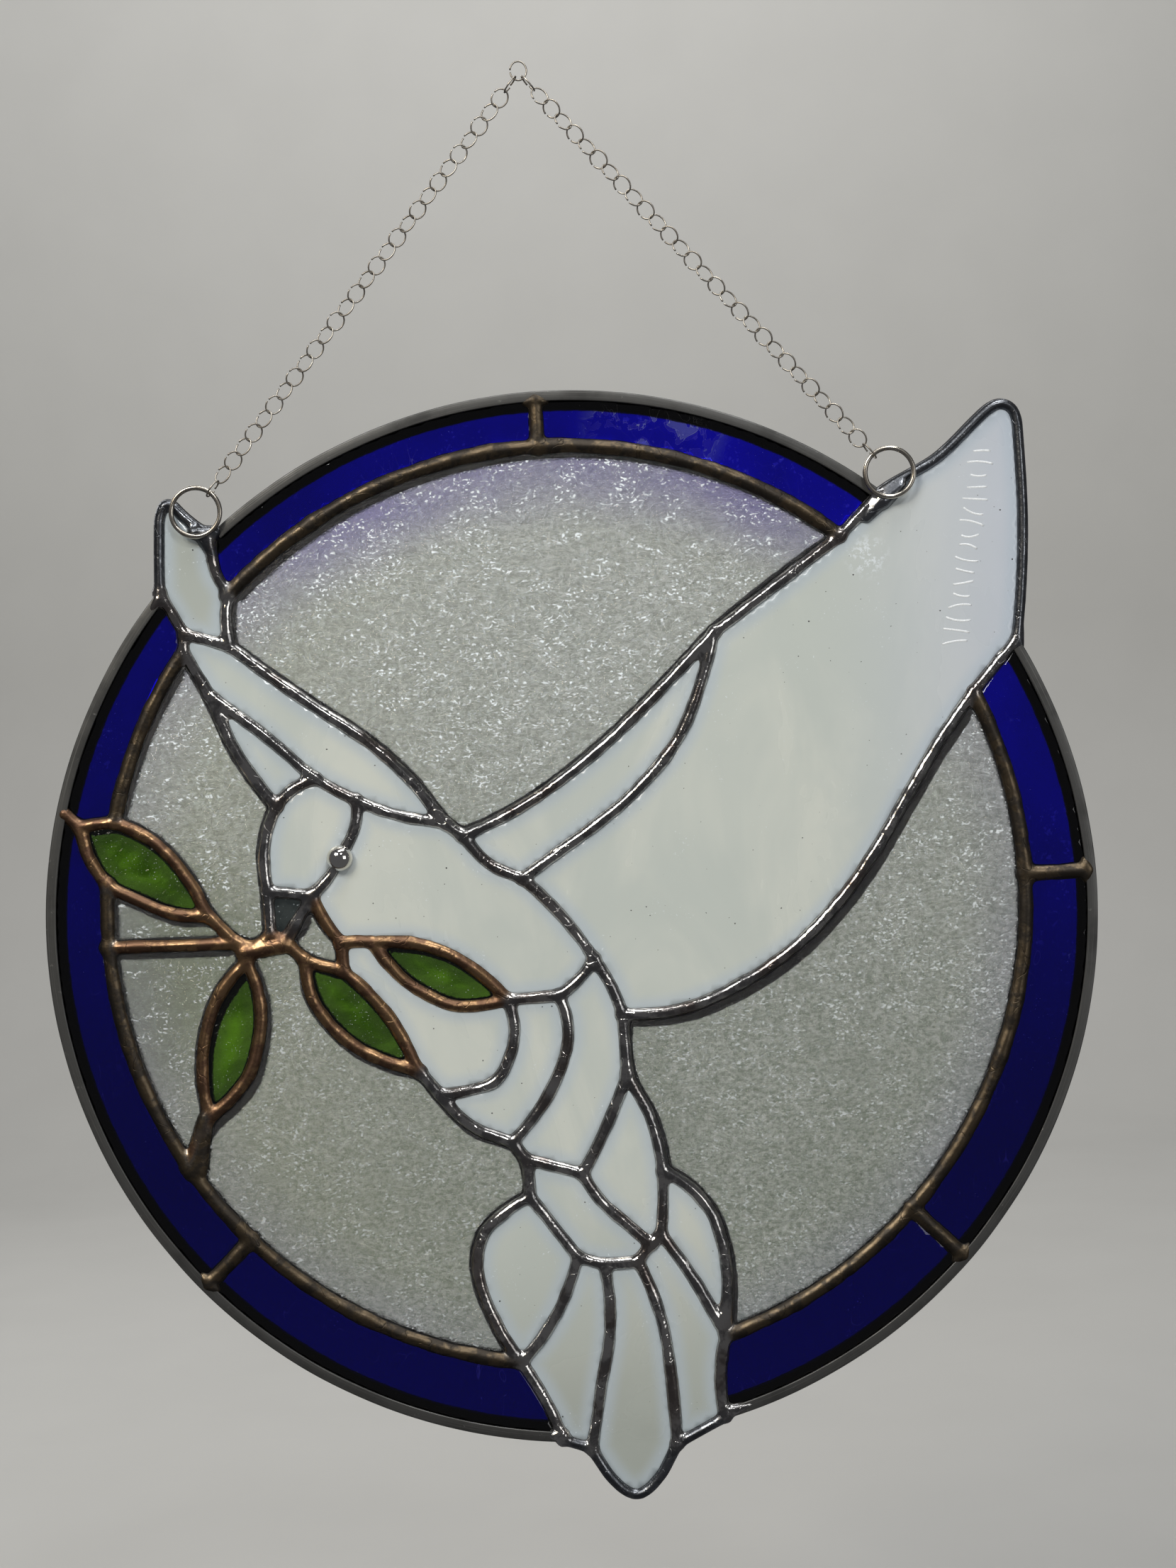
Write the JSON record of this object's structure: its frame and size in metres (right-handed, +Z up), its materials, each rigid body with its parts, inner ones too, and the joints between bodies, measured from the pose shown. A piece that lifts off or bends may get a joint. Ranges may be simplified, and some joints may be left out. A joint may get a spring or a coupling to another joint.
{
  "type": "stained glass suncatcher",
  "caption": "Round stained glass suncatcher: a white bird carrying a leafy branch inside a ring of blue glass, hung from a fine chain.",
  "frame": {"origin": "inside the top link of the chain, where the hook holds it", "axes": "+Z up as it hangs, -Y out of the front face, +X to the right of someone who looks at the front"},
  "size_m": [0.3045, 0.0093, 0.4187],
  "materials": {
    "cobalt_glass": "polished",
    "clear_glass": "textured",
    "opal_glass": "polished",
    "green_glass": "polished",
    "slate_glass": "polished",
    "solder": "patinated",
    "zinc_came": "dull",
    "steel_wire": "bright"
  },
  "bodies": {
    "root": {"blue_top_left": "cobalt_glass", "blue_top_right": "cobalt_glass", "blue_right": "cobalt_glass", "blue_lower_right": "cobalt_glass", "blue_bottom_right": "cobalt_glass", "blue_bottom_left": "cobalt_glass", "blue_lower_left": "cobalt_glass", "blue_left": "cobalt_glass", "clear_top": "clear_glass", "clear_upper_left": "clear_glass", "clear_by_stem": "clear_glass", "clear_lower_left": "clear_glass", "clear_bottom_left": "clear_glass", "clear_right": "clear_glass", "clear_by_beak": "clear_glass", "left_wing_tip": "opal_glass", "left_wing_upper": "opal_glass", "left_wing_lower": "opal_glass", "head": "opal_glass", "body": "opal_glass", "right_wing_lead": "opal_glass", "right_wing": "opal_glass", "chest": "opal_glass", "belly_band_front": "opal_glass", "belly_band_back": "opal_glass", "flank": "opal_glass", "rump": "opal_glass", "thigh_feather": "opal_glass", "tail_feather_1": "opal_glass", "tail_feather_2": "opal_glass", "tail_feather_3": "opal_glass", "tail_feather_4": "opal_glass", "beak": "slate_glass", "leaf_upper": "green_glass", "leaf_by_stem": "green_glass", "leaf_lower": "green_glass", "leaf_breast": "green_glass", "solder_seams": "solder", "came_top": "zinc_came", "came_left": "zinc_came", "came_right": "zinc_came", "hanging_ring_left": "steel_wire", "hanging_ring_right": "steel_wire", "chain_left": "steel_wire", "chain_right": "steel_wire", "chain_top_link": "steel_wire"}
  },
  "joints": []
}
